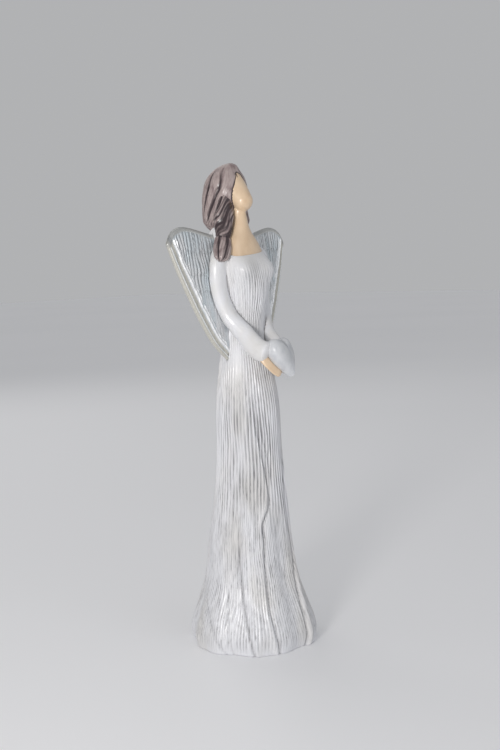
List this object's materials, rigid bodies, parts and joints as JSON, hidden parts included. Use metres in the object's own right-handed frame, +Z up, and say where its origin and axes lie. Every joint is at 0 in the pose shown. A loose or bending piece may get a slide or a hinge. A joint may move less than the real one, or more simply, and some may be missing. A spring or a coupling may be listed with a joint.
{
  "type": "angel figurine",
  "caption": "Slim standing angel figurine: robed figure with a blank raised face, long hair and wings at its back, holding a padded heart before it in both hands.",
  "frame": {"origin": "middle of the foot of the robe, on the surface that the figurine stands on", "axes": "+Z up from the hem to the crown, -Y the way the figure faces, +X towards the figure's left wing"},
  "size_m": [0.13, 0.0927, 0.35],
  "materials": {
    "painted_resin": "glossy white paint on cast resin, with peach skin and taupe hair",
    "satin_paint": "satin off-white paint on cast resin",
    "silver_pearl": "silver pearl paint on cast resin, with a warm outer band"
  },
  "bodies": {
    "root": {"figure": "painted_resin", "heart": "satin_paint", "wing_right": "silver_pearl", "wing_left": "silver_pearl"}
  },
  "joints": []
}
